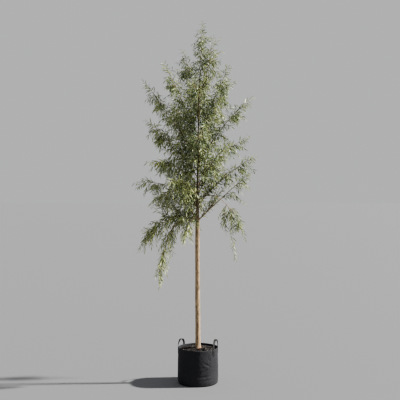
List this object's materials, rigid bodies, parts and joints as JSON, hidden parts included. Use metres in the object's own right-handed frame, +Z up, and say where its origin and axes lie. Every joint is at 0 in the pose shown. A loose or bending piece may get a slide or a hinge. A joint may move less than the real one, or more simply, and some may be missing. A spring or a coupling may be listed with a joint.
{
  "type": "potted white willow tree",
  "caption": "Young white willow with a bare straight stem and an open crown of narrow silvery leaves, planted in a round black fabric grow bag with looped handles.",
  "frame": {"origin": "centre of the grow bag's flat underside, on the surface that it stands on", "axes": "+Z up along the stem, +X to the right of the pictured view, and -Y towards its viewer"},
  "size_m": [1.3352, 1.1668, 3.6222],
  "materials": {
    "grow_bag": "matte black woven polypropylene",
    "strap": "matte black webbing",
    "compost": "moist dark bark compost",
    "trunk": "pale grey-brown young bark, finely cracked",
    "bough": "smooth dark olive-brown bark",
    "foliage": "silvery green leaves, paler and felted underneath"
  },
  "bodies": {
    "root": {"bough_back_left": "bough", "bough_back_left_low": "bough", "bough_back_low": "bough", "bough_back_mid": "bough", "bough_back_right_low": "bough", "bough_front_low": "bough", "bough_front_mid": "bough", "bough_front_right_low": "bough", "bough_front_weeping": "bough", "bough_left_front": "bough", "bough_left_high": "bough", "bough_left_low": "bough", "bough_left_mid": "bough", "bough_left_upper": "bough", "bough_left_weeping": "bough", "bough_right_back": "bough", "bough_right_high": "bough", "bough_right_low": "bough", "bough_right_mid": "bough", "bough_right_upper": "bough", "bough_right_weeping": "bough", "compost": "compost", "foliage_back_left": "foliage", "foliage_back_left_low": "foliage", "foliage_back_low": "foliage", "foliage_back_mid": "foliage", "foliage_back_right_low": "foliage", "foliage_back_upper": "foliage", "foliage_front_low": "foliage", "foliage_front_mid": "foliage", "foliage_front_right_low": "foliage", "foliage_front_upper": "foliage", "foliage_front_weeping": "foliage", "foliage_leader": "foliage", "foliage_left_front": "foliage", "foliage_left_front_high": "foliage", "foliage_left_high": "foliage", "foliage_left_low": "foliage", "foliage_left_mid": "foliage", "foliage_left_top": "foliage", "foliage_left_upper": "foliage", "foliage_left_weeping": "foliage", "foliage_right_back": "foliage", "foliage_right_front": "foliage", "foliage_right_high": "foliage", "foliage_right_low": "foliage", "foliage_right_mid": "foliage", "foliage_right_top": "foliage", "foliage_right_upper": "foliage", "foliage_right_weeping": "foliage", "grow_bag": "grow_bag", "handle_left": "strap", "handle_right": "strap", "trunk": "trunk"}
  },
  "joints": []
}
